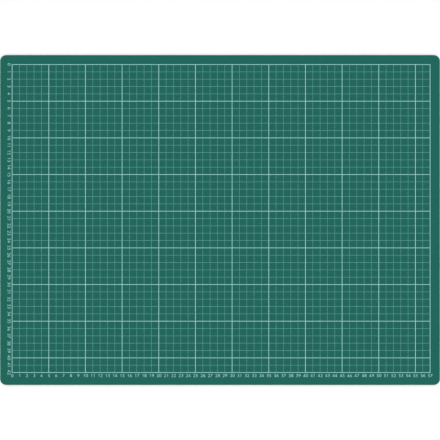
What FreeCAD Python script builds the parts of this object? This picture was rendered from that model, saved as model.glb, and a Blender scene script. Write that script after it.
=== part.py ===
# Self-healing cutting mat: five PVC plies laminated face to face, die cut to one outline, with a measuring
# grid screen printed on the upper face.
# Millimetres. +X runs along the long edge, +Y away from the lower numbered edge and +Z up out of the print.
# The origin is the middle of the underside.

import FreeCAD
import Part
import Sketcher

import math
import os

# Driving dimensions, in millimetres unless a count is named.
SIZES = {
    # Outline of the cutting die
    "mat_width": 600.0,
    "mat_depth": 450.0,
    "corner_radius": 8.5,
    # Thickness of each ply, and the rounding of the two outer edges
    "face_thickness": 0.95,
    "bond_thickness": 0.1,
    "core_thickness": 0.9,
    "edge_round": 0.4,
    # Distance from the mat's edge to the middle of the grid's frame line on the two numbered sides, and the
    # least such distance on the other two
    "left_margin": 16.5,
    "lower_margin": 17.0,
    "plain_margin": 13.0,
    # Spacing of the grid lines, and the count of spaces from one bold line to the next
    "line_pitch": 10.0,
    "spaces_per_bold": 5,
    # Print
    "bold_line": 0.6,
    "hair_line": 0.18,
    "ink_thickness": 0.03,
}

# Heights of the interfaces in the stack, from the underside up.
LOWER_BOND_BASE = "sizes.face_thickness"
CORE_BASE = f"{LOWER_BOND_BASE} + sizes.bond_thickness"
UPPER_BOND_BASE = f"{CORE_BASE} + sizes.core_thickness"
TOP_SHEET_BASE = f"{UPPER_BOND_BASE} + sizes.bond_thickness"
PRINT_BASE = f"{TOP_SHEET_BASE} + sizes.face_thickness"
SECOND_STROKE_BASE = f"{PRINT_BASE} + sizes.ink_thickness"

# The rounding stays inside the wall of its ply.
ROUND_SHARE = 0.9
EDGE_ROUND = f"min(sizes.edge_round; {ROUND_SHARE} * sizes.face_thickness)"

# The grid has as many whole spaces as fit between the margins. The slack absorbs rounding of the quotient.
COUNT_SLACK = 0.001
ROOM_ACROSS = "(sizes.mat_width - sizes.left_margin - sizes.plain_margin)"
ROOM_DOWN = "(sizes.mat_depth - sizes.lower_margin - sizes.plain_margin)"
COLUMNS = f"floor({ROOM_ACROSS} / sizes.line_pitch + {COUNT_SLACK})"
ROWS = f"floor({ROOM_DOWN} / sizes.line_pitch + {COUNT_SLACK})"
GRID_WIDTH = f"{COLUMNS} * sizes.line_pitch"
GRID_DEPTH = f"{ROWS} * sizes.line_pitch"

# Outer lower left corner of the printed frame, from which every printed line is measured.
PRINT_CORNER_X = "sizes.left_margin - sizes.mat_width / 2 - sizes.bold_line / 2"
PRINT_CORNER_Y = "sizes.lower_margin - sizes.mat_depth / 2 - sizes.bold_line / 2"

ORIGIN_POINT = (-1, 1)


def make_size_sheet(doc):
    """Writes the driving dimensions to a spreadsheet, one alias each."""
    sheet = doc.addObject("Spreadsheet::Sheet", "sizes")
    for row, (alias, value) in enumerate(SIZES.items(), start=1):
        sheet.set(f"A{row}", alias)
        sheet.set(f"B{row}", str(value))
        sheet.setAlias(f"B{row}", alias)
    doc.recompute()
    return sheet


def new_body(doc, label, base_z, base_x="0", base_y="0"):
    """An empty body whose place follows the size sheet."""
    body = doc.addObject("PartDesign::Body", label)
    body.Label = label
    for axis, expression in (("x", base_x), ("y", base_y), ("z", base_z)):
        body.setExpression(f"Placement.Base.{axis}", expression)
    return body


def origin_feature(body, role):
    """The plane or axis of the body's own origin that has this role."""
    return next(feature for feature in body.Origin.OriginFeatures if feature.Role == role)


def new_sketch(body, name):
    """An empty sketch on the body's XY plane."""
    sketch = body.newObject("Sketcher::SketchObject", name)
    sketch.AttachmentSupport = [(origin_feature(body, "XY_Plane"), "")]
    sketch.MapMode = "FlatFace"
    return sketch


def add_driven(sketch, name, expression, *constraint):
    """Adds a dimension to the sketch and binds it to the size sheet."""
    index = sketch.addConstraint(Sketcher.Constraint(*constraint))
    sketch.renameConstraint(index, name)
    sketch.setExpression(f"Constraints.{name}", expression)


def add_rectangle(sketch, name, left, bottom, width, depth):
    """Adds an upright rectangle, placed by its lower left corner. The four sizes are expressions."""
    corners = [FreeCAD.Vector(x, y) for x, y in ((1, 1), (2, 1), (2, 2), (1, 2))]
    sides = [
        sketch.addGeometry(Part.LineSegment(corners[side], corners[(side + 1) % 4]))
        for side in range(4)
    ]
    for side in range(4):
        sketch.addConstraint(Sketcher.Constraint("Coincident", sides[side], 2, sides[(side + 1) % 4], 1))
        direction = "Vertical" if side % 2 else "Horizontal"
        sketch.addConstraint(Sketcher.Constraint(direction, sides[side]))
    low = (sides[0], 1)
    high = (sides[2], 1)
    add_driven(sketch, f"{name}_left", left, "DistanceX", *ORIGIN_POINT, *low, 1.0)
    add_driven(sketch, f"{name}_bottom", bottom, "DistanceY", *ORIGIN_POINT, *low, 1.0)
    add_driven(sketch, f"{name}_width", width, "DistanceX", *low, *high, 1.0)
    add_driven(sketch, f"{name}_depth", depth, "DistanceY", *low, *high, 1.0)


def add_die_outline(sketch, sheet):
    """Adds the rounded rectangle of the cutting die, centred on the sketch's origin."""
    half_width = sheet.mat_width / 2
    half_depth = sheet.mat_depth / 2
    radius = sheet.corner_radius
    inset_x = half_width - radius
    inset_y = half_depth - radius
    # Each side runs counterclockwise and is followed by the corner at its end.
    sides = [
        ((-inset_x, -half_depth), (inset_x, -half_depth)),
        ((half_width, -inset_y), (half_width, inset_y)),
        ((inset_x, half_depth), (-inset_x, half_depth)),
        ((-half_width, inset_y), (-half_width, -inset_y)),
    ]
    centres = [(inset_x, -inset_y), (inset_x, inset_y), (-inset_x, inset_y), (-inset_x, -inset_y)]
    quarter = math.pi / 2
    lines = []
    arcs = []
    for side in range(4):
        start, end = (FreeCAD.Vector(*point) for point in sides[side])
        lines.append(sketch.addGeometry(Part.LineSegment(start, end)))
        circle = Part.Circle(FreeCAD.Vector(*centres[side]), FreeCAD.Vector(0, 0, 1), radius)
        arcs.append(sketch.addGeometry(Part.ArcOfCircle(circle, (side - 1) * quarter, side * quarter)))
    for side in range(4):
        sketch.addConstraint(Sketcher.Constraint("Tangent", lines[side], 2, arcs[side], 1))
        sketch.addConstraint(Sketcher.Constraint("Tangent", arcs[side], 2, lines[(side + 1) % 4], 1))
        sketch.addConstraint(Sketcher.Constraint("Vertical" if side % 2 else "Horizontal", lines[side]))
    for arc in arcs[1:]:
        sketch.addConstraint(Sketcher.Constraint("Equal", arcs[0], arc))
    add_driven(sketch, "corner", "sizes.corner_radius", "Radius", arcs[0], radius)
    add_driven(sketch, "width", "sizes.mat_width", "DistanceX", lines[3], 2, lines[1], 1, 2 * half_width)
    add_driven(sketch, "depth", "sizes.mat_depth", "DistanceY", lines[0], 2, lines[2], 1, 2 * half_depth)
    sketch.addConstraint(Sketcher.Constraint("Symmetric", lines[0], 1, lines[2], 1, *ORIGIN_POINT))


def add_pad(body, sketch, name, thickness):
    """Pads a sketch upwards by a thickness given as an expression."""
    pad = body.newObject("PartDesign::Pad", name)
    pad.Profile = sketch
    pad.setExpression("Length", thickness)
    return pad


def face_at(feature, highest):
    """Name of the flat face at the top or at the bottom of a feature."""
    faces = feature.Shape.Faces
    pick = max if highest else min
    index = pick(range(len(faces)), key=lambda i: faces[i].CenterOfMass.z)
    return f"Face{index + 1}"


def make_ply(doc, sheet, label, base_z, thickness):
    """One sheet of the laminate, cut by the die."""
    body = new_body(doc, label, base_z)
    outline = new_sketch(body, f"{label}_outline")
    add_die_outline(outline, sheet)
    pad = add_pad(body, outline, f"{label}_pad", thickness)
    doc.recompute()
    return body, pad


def make_face_ply(doc, sheet, label, base_z, upper):
    """An outer sheet, with the edge that hands and tools meet rounded."""
    body, pad = make_ply(doc, sheet, label, base_z, "sizes.face_thickness")
    rounding = body.newObject("PartDesign::Fillet", f"{label}_round")
    rounding.Base = (pad, [face_at(pad, highest=upper)])
    rounding.setExpression("Radius", EDGE_ROUND)
    return body


def make_plies(doc, sheet):
    """The laminate: two soft faces, each bonded by a film to the rigid core that stops the blade."""
    make_face_ply(doc, sheet, "bottom_cutting_sheet", "0", upper=False)
    make_ply(doc, sheet, "lower_bond_film", LOWER_BOND_BASE, "sizes.bond_thickness")
    make_ply(doc, sheet, "rigid_core_sheet", CORE_BASE, "sizes.core_thickness")
    make_ply(doc, sheet, "upper_bond_film", UPPER_BOND_BASE, "sizes.bond_thickness")
    make_face_ply(doc, sheet, "top_cutting_sheet", TOP_SHEET_BASE, upper=True)


def new_print(doc, label, base_z):
    """An empty body for printed lines, placed at the outer corner of the printed frame."""
    return new_body(doc, label, base_z, PRINT_CORNER_X, PRINT_CORNER_Y)


def make_frame_print(doc):
    """The bold line round the grid, one film with the first stroke's rows."""
    body = new_print(doc, "grid_frame_print", PRINT_BASE)
    sketch = new_sketch(body, "grid_frame_outline")
    add_rectangle(
        sketch, "outer", "0", "0", f"{GRID_WIDTH} + sizes.bold_line", f"{GRID_DEPTH} + sizes.bold_line"
    )
    add_rectangle(
        sketch,
        "inner",
        "sizes.bold_line",
        "sizes.bold_line",
        f"{GRID_WIDTH} - sizes.bold_line",
        f"{GRID_DEPTH} - sizes.bold_line",
    )
    add_pad(body, sketch, "grid_frame_film", "sizes.ink_thickness")


def line_side(spaces, line_width):
    """How far the near side of a line lies from the frame's outer corner, for a line so many spaces in."""
    return f"{spaces} * sizes.line_pitch + sizes.bold_line / 2 - {line_width} / 2"


def repeat_line(body, sketch, name, axis, backwards, spaces, first_space):
    """Pads one line and repeats it at each bold interval for as long as it stays inside the frame."""
    line = add_pad(body, sketch, f"{name}_film", "sizes.ink_thickness")
    repeat = body.newObject("PartDesign::LinearPattern", f"{name}_repeat")
    repeat.Originals = [line]
    repeat.Direction = (origin_feature(body, axis), [""])
    repeat.Reversed = backwards
    repeat.Mode = "Spacing"
    repeat.setExpression("Offset", "sizes.spaces_per_bold * sizes.line_pitch")
    repeat.setExpression(
        "Occurrences", f"floor(({spaces} - 1 - {first_space}) / sizes.spaces_per_bold) + 1"
    )
    body.Tip = repeat


def add_rows(body, name, first_space, line_width):
    """Rows count down from the upper frame line, as the left scale does, and butt against the frame."""
    sketch = new_sketch(body, f"{name}_outline")
    bottom = line_side(f"({ROWS} - {first_space})", line_width)
    add_rectangle(sketch, "line", "sizes.bold_line", bottom, f"{GRID_WIDTH} - sizes.bold_line", line_width)
    repeat_line(body, sketch, name, "Y_Axis", True, ROWS, first_space)


def add_columns(body, name, first_space, line_width):
    """Columns count from the left frame line, as the lower scale does, and cross over rows and frame."""
    sketch = new_sketch(body, f"{name}_outline")
    left = line_side(first_space, line_width)
    add_rectangle(sketch, "line", left, "0", line_width, f"{GRID_DEPTH} + sizes.bold_line")
    repeat_line(body, sketch, name, "X_Axis", False, COLUMNS, first_space)


def make_line_prints(doc, sheet):
    """Bold and hair lines of the grid: the rows in the first stroke, the columns over them in the second."""
    for way, add_lines, base_z in (
        ("rows", add_rows, PRINT_BASE),
        ("columns", add_columns, SECOND_STROKE_BASE),
    ):
        bold = new_print(doc, f"five_cm_{way}_print", base_z)
        add_lines(bold, f"bold_{way}", "sizes.spaces_per_bold", "sizes.bold_line")
        hair = new_print(doc, f"one_cm_{way}_print", base_z)
        for space in range(1, int(sheet.spaces_per_bold)):
            add_lines(hair, f"hair_{way}_{space}", space, "sizes.hair_line")


def check_document(doc):
    """Stops the build if any object failed or any sub-part is not made of valid closed solids."""
    for item in doc.Objects:
        if {"Invalid", "Error"} & set(item.State):
            raise RuntimeError(f"{item.Label} failed: {item.State}")
    for body in doc.findObjects("PartDesign::Body"):
        shape = body.Shape
        if shape.isNull() or not shape.isValid() or not shape.Solids:
            raise RuntimeError(f"{body.Label} has no valid solid")


def export_parts(doc):
    """Writes each sub-part to its own file, named after its label."""
    os.makedirs("parts", exist_ok=True)
    for body in doc.findObjects("PartDesign::Body"):
        body.Shape.exportStep(f"parts/{body.Label}.step")
        print(f"{body.Label}: {len(body.Shape.Solids)} solids, {body.Shape.Volume:.2f} mm3")


def main():
    doc = FreeCAD.newDocument("cutting_mat")
    sheet = make_size_sheet(doc)
    make_plies(doc, sheet)
    make_frame_print(doc)
    make_line_prints(doc, sheet)
    doc.recompute()
    check_document(doc)
    export_parts(doc)


main()
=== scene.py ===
import math

import bmesh
import bpy
from mathutils import Matrix, Vector


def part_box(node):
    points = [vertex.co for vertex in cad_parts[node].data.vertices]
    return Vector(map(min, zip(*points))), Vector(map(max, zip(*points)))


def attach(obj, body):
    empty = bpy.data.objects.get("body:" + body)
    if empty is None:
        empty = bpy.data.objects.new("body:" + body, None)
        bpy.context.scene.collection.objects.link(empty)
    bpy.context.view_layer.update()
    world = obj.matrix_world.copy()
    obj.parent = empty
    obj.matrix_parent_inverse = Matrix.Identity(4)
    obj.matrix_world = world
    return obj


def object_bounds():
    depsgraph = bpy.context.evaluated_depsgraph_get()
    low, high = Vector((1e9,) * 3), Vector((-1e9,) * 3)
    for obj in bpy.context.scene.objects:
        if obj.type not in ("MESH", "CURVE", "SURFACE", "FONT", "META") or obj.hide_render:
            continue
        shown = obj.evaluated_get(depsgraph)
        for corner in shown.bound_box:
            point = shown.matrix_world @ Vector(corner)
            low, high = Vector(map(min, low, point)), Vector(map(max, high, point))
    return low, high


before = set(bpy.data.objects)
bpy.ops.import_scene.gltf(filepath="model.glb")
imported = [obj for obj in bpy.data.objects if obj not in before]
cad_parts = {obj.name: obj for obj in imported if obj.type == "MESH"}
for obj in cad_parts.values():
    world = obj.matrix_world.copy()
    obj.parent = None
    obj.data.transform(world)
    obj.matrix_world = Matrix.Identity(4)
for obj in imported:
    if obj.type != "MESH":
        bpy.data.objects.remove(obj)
cad_low, cad_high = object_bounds()

# Looks of a self-healing cutting mat: matt embossed PVC faces, a pale core that shows at the die-cut edge,
# a pale screen-printed centimetre grid and its two scales of numerals.
# Metres. +X runs along the long edge, +Y away from the lower scale and +Z up out of the print.

MM = 0.001

# Printed lines, as the grid's solids have them: spacing, width of the bold ones and thickness of the ink
LINE_PITCH = 10.0 * MM
BOLD_LINE = 0.6 * MM
INK_THICKNESS = 0.03 * MM

# Numerals of the two scales. Next to the built-in typeface they are finer on each side, and wider
NUMERAL_HEIGHT = 4.0 * MM
NUMERAL_THINNING = 0.06 * MM
NUMERAL_WIDENING = 1.17
NUMERAL_CURVE_STEPS = 5

# Digits that the typeface draws. The 1 and the 4 are put together from straight strokes
TYPEFACE_DIGITS = "02356789"

# Corners of strokes nearer than this are one corner
SAME_PLACE = 0.001 * MM

# Shares of a numeral's height: the step from figure to figure, and the width of a straight stroke
FIGURE_STEP = 0.86
STROKE = 0.11

# The 1, in such shares: left side of its stem, slant of the stem's head, reach and drop of its flag
ONE_STEM = 0.0
ONE_HEAD_SLANT = STROKE / 4
FLAG_REACH = 0.22
FLAG_DROP = 0.2

# The 4, in such shares: left side of its stem, underside of its bar, and the bar's two ends
FOUR_STEM = 0.07
FOUR_BAR = 0.2
FOUR_TIP = -0.38
FOUR_END = 0.38

# Gap from the middle of the frame line to the numerals, and how far the lower numbers stand to the right
# of their lines and the left numbers above theirs
NUMERAL_GAP = 2.2 * MM
LOWER_SHIFT = 0.25 * MM
LEFT_SHIFT = 0.2 * MM

# Colours, linear
FACE_GREEN = (0.0086, 0.139, 0.110)
CORE_GREY = (0.60, 0.62, 0.58)
BOND_GREEN = (0.03, 0.075, 0.06)
FLOOR_WHITE = (0.95, 0.95, 0.95)
FULL_WHITE = (1.0, 1.0, 1.0)

# The ink is one, but the wider the stroke the fuller it lies, and the less green shows through it
BOLD_INK = (0.45, 0.89, 0.845)
NUMERAL_INK = (0.37, 0.73, 0.70)
HAIR_INK = (0.31, 0.79, 0.735)

# Grain of the faces: clouds, roller streaks, flecks, the pebbles of the emboss and the grit on them
FACE_CLOUD = 70.0 * MM
ROLLER_STREAK = 4.0 * MM
FLECK = 0.8 * MM
PEBBLE = 0.55 * MM
GRIT = 0.18 * MM

# Grain of the rest: clouds, marks of the printing screen, and marks that the cutting die drags down a wall
CORE_CLOUD = 15.0 * MM
BOND_CLOUD = 6.0 * MM
INK_CLOUD = 25.0 * MM
SCREEN_MARK = 0.3 * MM
DRAG_MARK = 0.25 * MM

# How many times longer than wide the roller streaks are along X and the drag marks along Z
STREAK_LENGTH = (20.0, 1.0, 1.0)
DRAG_LENGTH = (1.0, 1.0, 12.5)

# Depth of the pebbles, the grit, the drag marks in soft and in rigid PVC, and ripples in ink and adhesive
PEBBLE_DEPTH = 0.08 * MM
GRIT_DEPTH = 0.015 * MM
SOFT_DRAG_DEPTH = 0.03 * MM
RIGID_DRAG_DEPTH = 0.02 * MM
RIPPLE_DEPTH = 0.01 * MM

# How far neighbouring pebbles flow together
PEBBLE_SMOOTHNESS = 0.25

# Most values of a noise lie between these two
NOISE_LOW = 0.3
NOISE_HIGH = 0.7

# A surface is a wall where its normal rises by less than the first of these, and level above the second
WALL_RISE = 0.1
LEVEL_RISE = 0.9

# A Mix node has sockets of its own for each kind of value. These are its two colours and their mix
MIX_COLOURS = (6, 7)
MIX_RESULT = 2

# Camera: straight above, where the mat's length just fills the width of the picture
LENS_MM = 85.0
SENSOR_MM = 36.0

# Four wide lamps: elevation and spread of all, azimuth and strength of each. Angles are in degrees
LAMP_ELEVATION = 50.0
LAMP_SPREAD = 60.0
LAMPS = {"left": (180.0, 0.8), "right": (0.0, 0.7), "near": (-90.0, 0.66), "far": (90.0, 0.7)}

# Even light of the room. In its place the camera and reflections see white walls and a dim ceiling
AMBIENT_LEVEL = 0.3
WALL_LEVEL = 1.0
CEILING_LEVEL = 0.06

# Rise of the directions in which the walls begin to fade and the ceiling is reached
WALL_TOP = 0.4
CEILING_START = 0.75

# Floor: a wide disc, and the part of white that its own colour lacks
FLOOR_RADIUS = 40.0
FLOOR_SIDES = 96
FLOOR_LIFT = 0.06


class Nodes:
    """A node tree under construction, with short ways to add nodes and join them."""

    def __init__(self, tree):
        self.tree = tree

    def add(self, kind, **settings):
        """Adds a node and sets its properties."""
        node = self.tree.nodes.new(kind)
        for name, value in settings.items():
            setattr(node, name, value)
        return node

    def feed(self, socket, value):
        """Links the output of another node to an input socket, or sets a constant there."""
        if isinstance(value, bpy.types.NodeSocket):
            self.tree.links.new(value, socket)
        else:
            socket.default_value = value

    def calculate(self, operation, *values):
        """Result of an operation on values. Each is a number or the output of another node."""
        node = self.add("ShaderNodeMath", operation=operation)
        for socket, value in zip(node.inputs, values):
            self.feed(socket, value)
        return node.outputs["Value"]

    def span(self, value, low, high, start=NOISE_LOW, end=NOISE_HIGH, easing="LINEAR"):
        """Maps a value between start and end to one between low and high."""
        node = self.add("ShaderNodeMapRange", interpolation_type=easing)
        self.feed(node.inputs["Value"], value)
        self.feed(node.inputs["From Min"], start)
        self.feed(node.inputs["From Max"], end)
        self.feed(node.inputs["To Min"], low)
        self.feed(node.inputs["To Max"], high)
        return node.outputs["Result"]

    def rise(self, direction):
        """Height of a direction: 1 straight up, 0 level and -1 straight down."""
        parts = self.add("ShaderNodeSeparateXYZ")
        self.feed(parts.inputs["Vector"], direction)
        return parts.outputs["Z"]

    def seen(self):
        """1 for rays from the camera, also reflected or passed on, and 0 for light that falls on things."""
        path = self.add("ShaderNodeLightPath").outputs
        indirect = self.calculate("MAXIMUM", path["Is Glossy Ray"], path["Is Transmission Ray"])
        return self.calculate("MAXIMUM", path["Is Camera Ray"], indirect)


class Shader(Nodes):
    """The nodes of a new material, with the patterns that its surface is made of."""

    def __init__(self, name):
        self.material = bpy.data.materials.new(name)
        self.material.use_nodes = True
        super().__init__(self.material.node_tree)
        self.surface = self.tree.nodes["Principled BSDF"].inputs

    def place(self, length=(1.0, 1.0, 1.0)):
        """Coordinates on the object in metres, for a pattern drawn out so many times along each axis."""
        mapping = self.add("ShaderNodeMapping")
        self.feed(mapping.inputs["Vector"], self.add("ShaderNodeTexCoord").outputs["Object"])
        self.feed(mapping.inputs["Scale"], [1.0 / times for times in length])
        return mapping.outputs["Vector"]

    def noise(self, place, grain, detail=2.0):
        """Cloudy noise whose features are about as large as the grain, in metres."""
        node = self.add("ShaderNodeTexNoise")
        self.feed(node.inputs["Vector"], place)
        self.feed(node.inputs["Scale"], 1.0 / grain)
        self.feed(node.inputs["Detail"], detail)
        return node.outputs["Fac"]

    def pebbles(self, place):
        """Distance to the nearest of many scattered points, for an embossed leather-like skin."""
        node = self.add("ShaderNodeTexVoronoi", feature="SMOOTH_F1")
        self.feed(node.inputs["Vector"], place)
        self.feed(node.inputs["Scale"], 1.0 / PEBBLE)
        self.feed(node.inputs["Smoothness"], PEBBLE_SMOOTHNESS)
        return node.outputs["Distance"]

    def drag_marks(self):
        """Fine upright streaks that the cutting die leaves in a wall."""
        return self.noise(self.place(DRAG_LENGTH), DRAG_MARK, detail=3.0)

    def walls(self):
        """1 on upright walls and 0 on level faces."""
        normal = self.add("ShaderNodeTexCoord").outputs["Normal"]
        level = self.calculate("ABSOLUTE", self.rise(normal))
        return self.span(level, low=1.0, high=0.0, start=WALL_RISE, end=LEVEL_RISE)

    def rim(self, walls):
        """1 on the rounding between a level face and a wall, and 0 on both."""
        halfway = 0.5
        nearness = self.calculate("PINGPONG", walls, halfway)
        return self.span(nearness, low=0.0, high=1.0, start=0.0, end=halfway)

    def blend(self, share, *colours):
        """Mixes two colours. Each is a plain colour or the output of another node."""
        node = self.add("ShaderNodeMix", data_type="RGBA")
        self.feed(node.inputs["Factor"], share)
        for index, colour in zip(MIX_COLOURS, colours):
            self.feed(node.inputs[index], opaque(colour) if isinstance(colour, tuple) else colour)
        return node.outputs[MIX_RESULT]

    def vary(self, colour, pattern, darkest, lightest):
        """A plain colour made darker and lighter by a pattern."""
        share = self.span(pattern, low=0.0, high=1.0)
        return self.blend(share, tone(colour, darkest), tone(colour, lightest))

    def tint(self, colour, pattern, other, most, start=NOISE_LOW, end=NOISE_HIGH):
        """A colour with a share of another in it, which the pattern raises from nothing to most."""
        share = self.span(pattern, low=0.0, high=most, start=start, end=end)
        return self.blend(share, colour, other)

    def bump(self, height, depth, strength, under=None):
        """Roughens the shading by a height field whose full range is depth metres."""
        node = self.add("ShaderNodeBump")
        self.feed(node.inputs["Height"], height)
        self.feed(node.inputs["Distance"], depth)
        self.feed(node.inputs["Strength"], strength)
        if under is not None:
            self.feed(node.inputs["Normal"], under)
        return node.outputs["Normal"]

    def finish(self, colour, roughness, normal, specular):
        """Sets the surface from its parts."""
        self.feed(self.surface["Base Color"], colour)
        self.feed(self.surface["Roughness"], roughness)
        self.feed(self.surface["Normal"], normal)
        self.feed(self.surface["Specular IOR Level"], specular)
        return self.material


def opaque(colour):
    """A colour with the fourth number that sockets ask for."""
    return (*colour, 1.0)


def tone(colour, factor):
    """A colour made lighter or darker."""
    return tuple(channel * factor for channel in colour)


def make_face_material():
    """Soft PVC with a fine matt emboss and painted shade in its grooves, faint clouds and roller streaks,
    and drag marks in its walls.
    """
    shader = Shader("face_pvc")
    place = shader.place()
    cloud = shader.noise(place, FACE_CLOUD, detail=3.0)
    streak = shader.noise(shader.place(STREAK_LENGTH), ROLLER_STREAK)
    fleck = shader.noise(place, FLECK)
    pebble = shader.pebbles(place)
    grit = shader.noise(place, GRIT, detail=1.0)
    walls = shader.walls()
    drag = shader.drag_marks()
    wall_drag = shader.calculate("MULTIPLY", walls, drag)
    colour = shader.vary(FACE_GREEN, cloud, darkest=0.975, lightest=1.025)
    colour = shader.tint(colour, streak, tone(FACE_GREEN, 0.97), most=0.35)
    colour = shader.tint(colour, fleck, tone(FACE_GREEN, 1.08), most=0.5)
    # Painted shade: the colour darkens in the low grooves between the embossed pebbles
    colour = shader.tint(colour, pebble, tone(FACE_GREEN, 0.7), most=0.6, start=0.3, end=0.65)
    cut = shader.vary(FACE_GREEN, drag, darkest=0.78, lightest=1.12)
    colour = shader.blend(walls, colour, cut)
    # The rounded edges are lighter: partly edge wear, partly a painted sheen along the rounding
    colour = shader.tint(colour, shader.rim(walls), tone(FACE_GREEN, 1.35), most=0.5, start=0.0, end=1.0)
    roughness = shader.span(pebble, low=0.54, high=0.74, start=0.2, end=0.7)
    normal = shader.bump(pebble, -PEBBLE_DEPTH, strength=0.7)
    normal = shader.bump(grit, GRIT_DEPTH, strength=0.5, under=normal)
    normal = shader.bump(wall_drag, SOFT_DRAG_DEPTH, strength=0.5, under=normal)
    return shader.finish(colour, roughness, normal, specular=0.15)


def make_core_material():
    """Rigid pale PVC, seen only at its edge, with the drag marks of the cutting die."""
    shader = Shader("core_pvc")
    cloud = shader.noise(shader.place(), CORE_CLOUD)
    drag = shader.drag_marks()
    colour = shader.vary(CORE_GREY, cloud, darkest=0.94, lightest=1.04)
    colour = shader.tint(colour, drag, tone(CORE_GREY, 0.82), most=0.4)
    roughness = shader.span(drag, low=0.45, high=0.65)
    normal = shader.bump(drag, RIGID_DRAG_DEPTH, strength=0.5)
    return shader.finish(colour, roughness, normal, specular=0.3)


def make_bond_material():
    """The dark line of adhesive between two plies."""
    shader = Shader("bond_film")
    cloud = shader.noise(shader.place(), BOND_CLOUD)
    colour = shader.vary(BOND_GREEN, cloud, darkest=0.8, lightest=1.2)
    roughness = shader.span(cloud, low=0.4, high=0.6)
    normal = shader.bump(cloud, RIPPLE_DEPTH, strength=0.3)
    return shader.finish(colour, roughness, normal, specular=0.3)


def make_ink_material(name, ink):
    """Matt screen ink of a given colour, a little uneven, on the emboss that shows through it."""
    shader = Shader(name)
    place = shader.place()
    cloud = shader.noise(place, INK_CLOUD)
    screen = shader.noise(place, SCREEN_MARK, detail=1.0)
    colour = shader.vary(ink, cloud, darkest=0.95, lightest=1.05)
    colour = shader.tint(colour, screen, tone(ink, 0.75), most=0.25)
    roughness = shader.span(screen, low=0.5, high=0.66)
    normal = shader.bump(shader.pebbles(place), -PEBBLE_DEPTH, strength=0.35)
    normal = shader.bump(screen, RIPPLE_DEPTH, strength=0.4, under=normal)
    return shader.finish(colour, roughness, normal, specular=0.2)


def dress(materials):
    """Gives the solid of each named node its material."""
    for node, material in materials.items():
        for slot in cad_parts[node].material_slots:
            slot.material = material


def dress_plies():
    """Materials of the laminate, from the top down."""
    face = make_face_material()
    bond = make_bond_material()
    dress(
        {
            "top_cutting_sheet": face,
            "upper_bond_film": bond,
            "rigid_core_sheet": make_core_material(),
            "lower_bond_film": bond,
            "bottom_cutting_sheet": face,
        }
    )


def dress_prints():
    """Inks of the grid's lines."""
    bold = make_ink_material("bold_line_ink", BOLD_INK)
    hair = make_ink_material("hair_line_ink", HAIR_INK)
    dress(
        {
            "grid_frame_print": bold,
            "five_cm_rows_print": bold,
            "five_cm_columns_print": bold,
            "one_cm_rows_print": hair,
            "one_cm_columns_print": hair,
        }
    )


def add_object(name, data):
    """A new object in the scene."""
    item = bpy.data.objects.new(name, data)
    bpy.context.scene.collection.objects.link(item)
    return item


def to_mesh(name, shape):
    """Mesh of a shape. It uses the shape up."""
    mesh = bpy.data.meshes.new(name)
    shape.to_mesh(mesh)
    shape.free()
    return mesh


def filled(curve):
    """Flat shape that a curve encloses. It uses the curve up."""
    holder = add_object("figure", curve)
    bpy.context.view_layer.update()
    mesh = bpy.data.meshes.new_from_object(holder.evaluated_get(bpy.context.evaluated_depsgraph_get()))
    bpy.data.objects.remove(holder)
    bpy.data.curves.remove(curve)
    shape = bmesh.new()
    shape.from_mesh(mesh)
    bpy.data.meshes.remove(mesh)
    return shape


def thicken(shape):
    """Mesh of a flat shape, made one ink film thick. It uses the shape up."""
    copied = bmesh.ops.extrude_face_region(shape, geom=shape.faces[:])["geom"]
    upper = [item for item in copied if isinstance(item, bmesh.types.BMVert)]
    bmesh.ops.translate(shape, verts=upper, vec=(0.0, 0.0, INK_THICKNESS))
    bmesh.ops.translate(shape, verts=shape.verts, vec=(0.0, 0.0, -INK_THICKNESS / 2))
    bmesh.ops.recalc_face_normals(shape, faces=shape.faces)
    for face in shape.faces:
        face.smooth = False
    return to_mesh("figure", shape)


def typeface_figure(digit, size):
    """A figure of the built-in typeface, finer and wider, with the middle of its width at x = 0."""
    curve = bpy.data.curves.new("figure", "FONT")
    curve.body = digit
    curve.size = size
    curve.offset = -NUMERAL_THINNING
    curve.resolution_u = NUMERAL_CURVE_STEPS
    shape = filled(curve)
    # An edge shorter than the thinning can turn over, so its two corners become one
    bmesh.ops.remove_doubles(shape, verts=shape.verts, dist=NUMERAL_THINNING)
    mesh = thicken(shape)
    sides = [vertex.co.x for vertex in mesh.vertices]
    mesh.transform(Matrix.Translation((-(min(sides) + max(sides)) / 2, 0, 0)))
    mesh.transform(Matrix.Scale(NUMERAL_WIDENING, 4, (1, 0, 0)))
    return mesh


def typeface_size():
    """Size at which the typeface's flat-ended figure 1, made finer, is as tall as the numerals."""
    trial = typeface_figure("1", 1.0)
    heights = [vertex.co.y for vertex in trial.vertices]
    bpy.data.meshes.remove(trial)
    return (NUMERAL_HEIGHT + 2 * NUMERAL_THINNING) / (max(heights) - min(heights))


def pieced_figure(*pieces):
    """A figure of flat four-cornered pieces that share their corners, which are given in numeral heights."""
    shape = bmesh.new()
    for piece in pieces:
        shape.faces.new([shape.verts.new((x * NUMERAL_HEIGHT, y * NUMERAL_HEIGHT, 0.0)) for x, y in piece])
    bmesh.ops.remove_doubles(shape, verts=shape.verts, dist=SAME_PLACE)
    return thicken(shape)


def block(left, low, right, high):
    """Corners of an upright rectangle."""
    return ((left, low), (right, low), (right, high), (left, high))


def figure_one():
    """An upright stem with a slanted flag at its head."""
    left = ONE_STEM
    right = left + STROKE
    top_left = left + ONE_HEAD_SLANT
    tip = left - FLAG_REACH
    neck = 1.0 - FLAG_DROP
    stem = block(left, 0.0, right, neck)
    head = ((left, neck), (right, neck), (right, 1.0), (top_left, 1.0))
    flag = ((tip, neck - STROKE), (left, neck), (top_left, 1.0), (tip, neck))
    return pieced_figure(stem, head, flag)


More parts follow.
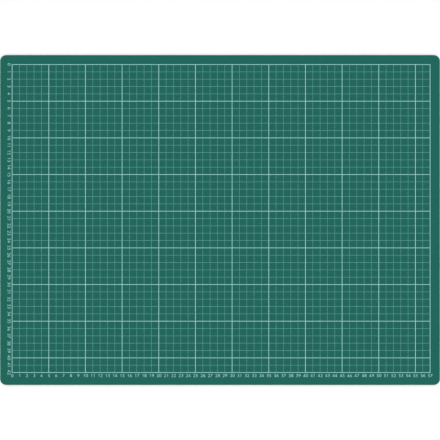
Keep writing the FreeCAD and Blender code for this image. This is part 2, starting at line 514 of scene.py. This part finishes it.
def figure_four():
    """A stem, a bar across it and a slanted stroke that closes a three-cornered eye."""
    left = FOUR_STEM
    right = left + STROKE
    low = FOUR_BAR
    high = low + STROKE
    slope = (1.0 - high) / (left - FOUR_TIP)
    slant_depth = STROKE * math.hypot(1.0, slope)
    eye_left = FOUR_TIP + slant_depth / slope
    eye_top = 1.0 - slant_depth
    levels = (0.0, low, high, eye_top, 1.0)
    stem = [block(left, foot, right, head) for foot, head in zip(levels, levels[1:])]
    spans = ((FOUR_TIP, eye_left), (eye_left, left), (right, FOUR_END))
    bar = [block(start, low, end, high) for start, end in spans]
    slant = ((FOUR_TIP, high), (eye_left, high), (left, eye_top), (left, 1.0))
    return pieced_figure(*stem, *bar, slant)


def make_figures():
    """The ten figures by digit."""
    size = typeface_size()
    figures = {digit: typeface_figure(digit, size) for digit in TYPEFACE_DIGITS}
    figures["1"] = figure_one()
    figures["4"] = figure_four()
    return figures


def add_number(scale, number, place, figures):
    """Adds a number to a scale, its figures side by side about the place's origin."""
    digits = str(number)
    for position, digit in enumerate(digits):
        shift = (position - (len(digits) - 1) / 2) * FIGURE_STEP * NUMERAL_HEIGHT
        figure_place = place @ Matrix.Translation((shift, 0, 0))
        before = len(scale.verts)
        scale.from_mesh(figures[digit])
        scale.verts.ensure_lookup_table()
        bmesh.ops.transform(scale, matrix=figure_place, verts=scale.verts[before:])


def make_scale(name, places, figures, ink):
    """One piece with the numerals of a scale. Each place is the turn and position of the next number."""
    scale = bmesh.new()
    for number, place in enumerate(places):
        add_number(scale, number, place, figures)
    mesh = to_mesh(name, scale)
    mesh.materials.append(ink)
    piece = add_object(name, mesh)
    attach(piece, "root")


def make_scales():
    """The lower scale, under the column lines, and the left scale, turned to be read from the left edge."""
    low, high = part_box("grid_frame_print")
    left, right = low.x + BOLD_LINE / 2, high.x - BOLD_LINE / 2
    bottom, top = low.y + BOLD_LINE / 2, high.y - BOLD_LINE / 2
    columns = round((right - left) / LINE_PITCH)
    rows = round((top - bottom) / LINE_PITCH)
    level = low.z + INK_THICKNESS / 2
    foot = NUMERAL_GAP + NUMERAL_HEIGHT
    under_columns = [
        Matrix.Translation((left + column * LINE_PITCH + LOWER_SHIFT, bottom - foot, level))
        for column in range(columns + 1)
    ]
    quarter_turn = Matrix.Rotation(-math.pi / 2, 4, "Z")
    beside_rows = [
        Matrix.Translation((left - foot, top - row * LINE_PITCH + LEFT_SHIFT, level)) @ quarter_turn
        for row in range(rows + 1)
    ]
    figures = make_figures()
    ink = make_ink_material("numeral_ink", NUMERAL_INK)
    make_scale("bottom_scale_numerals", under_columns, figures, ink)
    make_scale("left_scale_numerals", beside_rows, figures, ink)
    for figure in figures.values():
        bpy.data.meshes.remove(figure)


def make_floor():
    """A wide floor that shows white and keeps the mat's shadow."""
    shader = Shader("floor_white")
    shader.feed(shader.surface["Base Color"], opaque(FLOOR_WHITE))
    shader.feed(shader.surface["Roughness"], 1.0)
    shader.feed(shader.surface["Specular IOR Level"], 0.0)
    shader.feed(shader.surface["Emission Color"], opaque(FULL_WHITE))
    lift = shader.calculate("MULTIPLY", shader.seen(), FLOOR_LIFT)
    shader.feed(shader.surface["Emission Strength"], lift)
    disc = bmesh.new()
    bmesh.ops.create_circle(disc, cap_ends=True, segments=FLOOR_SIDES, radius=FLOOR_RADIUS)
    mesh = to_mesh("floor", disc)
    mesh.materials.append(shader.material)
    floor = add_object("floor", mesh)


def make_world():
    """An even ambient light, which shows as white walls under a dim ceiling."""
    world = bpy.data.worlds.new("studio")
    bpy.context.scene.world = world
    world.use_nodes = True
    nodes = Nodes(world.node_tree)
    height = nodes.rise(nodes.add("ShaderNodeTexCoord").outputs["Generated"])
    room = nodes.span(height, WALL_LEVEL, CEILING_LEVEL, WALL_TOP, CEILING_START, easing="SMOOTHSTEP")
    level = nodes.span(nodes.seen(), low=AMBIENT_LEVEL, high=room, start=0.0, end=1.0)
    background = world.node_tree.nodes["Background"].inputs
    nodes.feed(background["Color"], opaque(FULL_WHITE))
    nodes.feed(background["Strength"], level)


def make_lamps():
    """Four broad lamps, one on each side of the mat."""
    elevation = math.radians(LAMP_ELEVATION)
    for side, (degrees, strength) in LAMPS.items():
        azimuth = math.radians(degrees)
        lamp = bpy.data.lights.new(f"lamp_{side}", "SUN")
        lamp.energy = strength
        lamp.angle = math.radians(LAMP_SPREAD)
        towards_lamp = Vector(
            (
                math.cos(azimuth) * math.cos(elevation),
                math.sin(azimuth) * math.cos(elevation),
                math.sin(elevation),
            )
        )
        holder = add_object(f"lamp_{side}", lamp)
        holder.rotation_euler = towards_lamp.to_track_quat("Z", "Y").to_euler()


def make_camera():
    """Straight above the mat's middle, with +X to the right and +Y up the picture."""
    camera = bpy.data.cameras.new("camera")
    camera.lens = LENS_MM
    camera.sensor_width = SENSOR_MM
    distance = (cad_high.x - cad_low.x) * LENS_MM / SENSOR_MM
    centre = (cad_low + cad_high) / 2
    holder = add_object("camera", camera)
    holder.location = (centre.x, centre.y, cad_high.z + distance)
    bpy.context.scene.camera = holder


dress_plies()
dress_prints()
make_scales()
make_floor()
make_world()
make_lamps()
make_camera()
bpy.context.scene.view_settings.view_transform = "Standard"
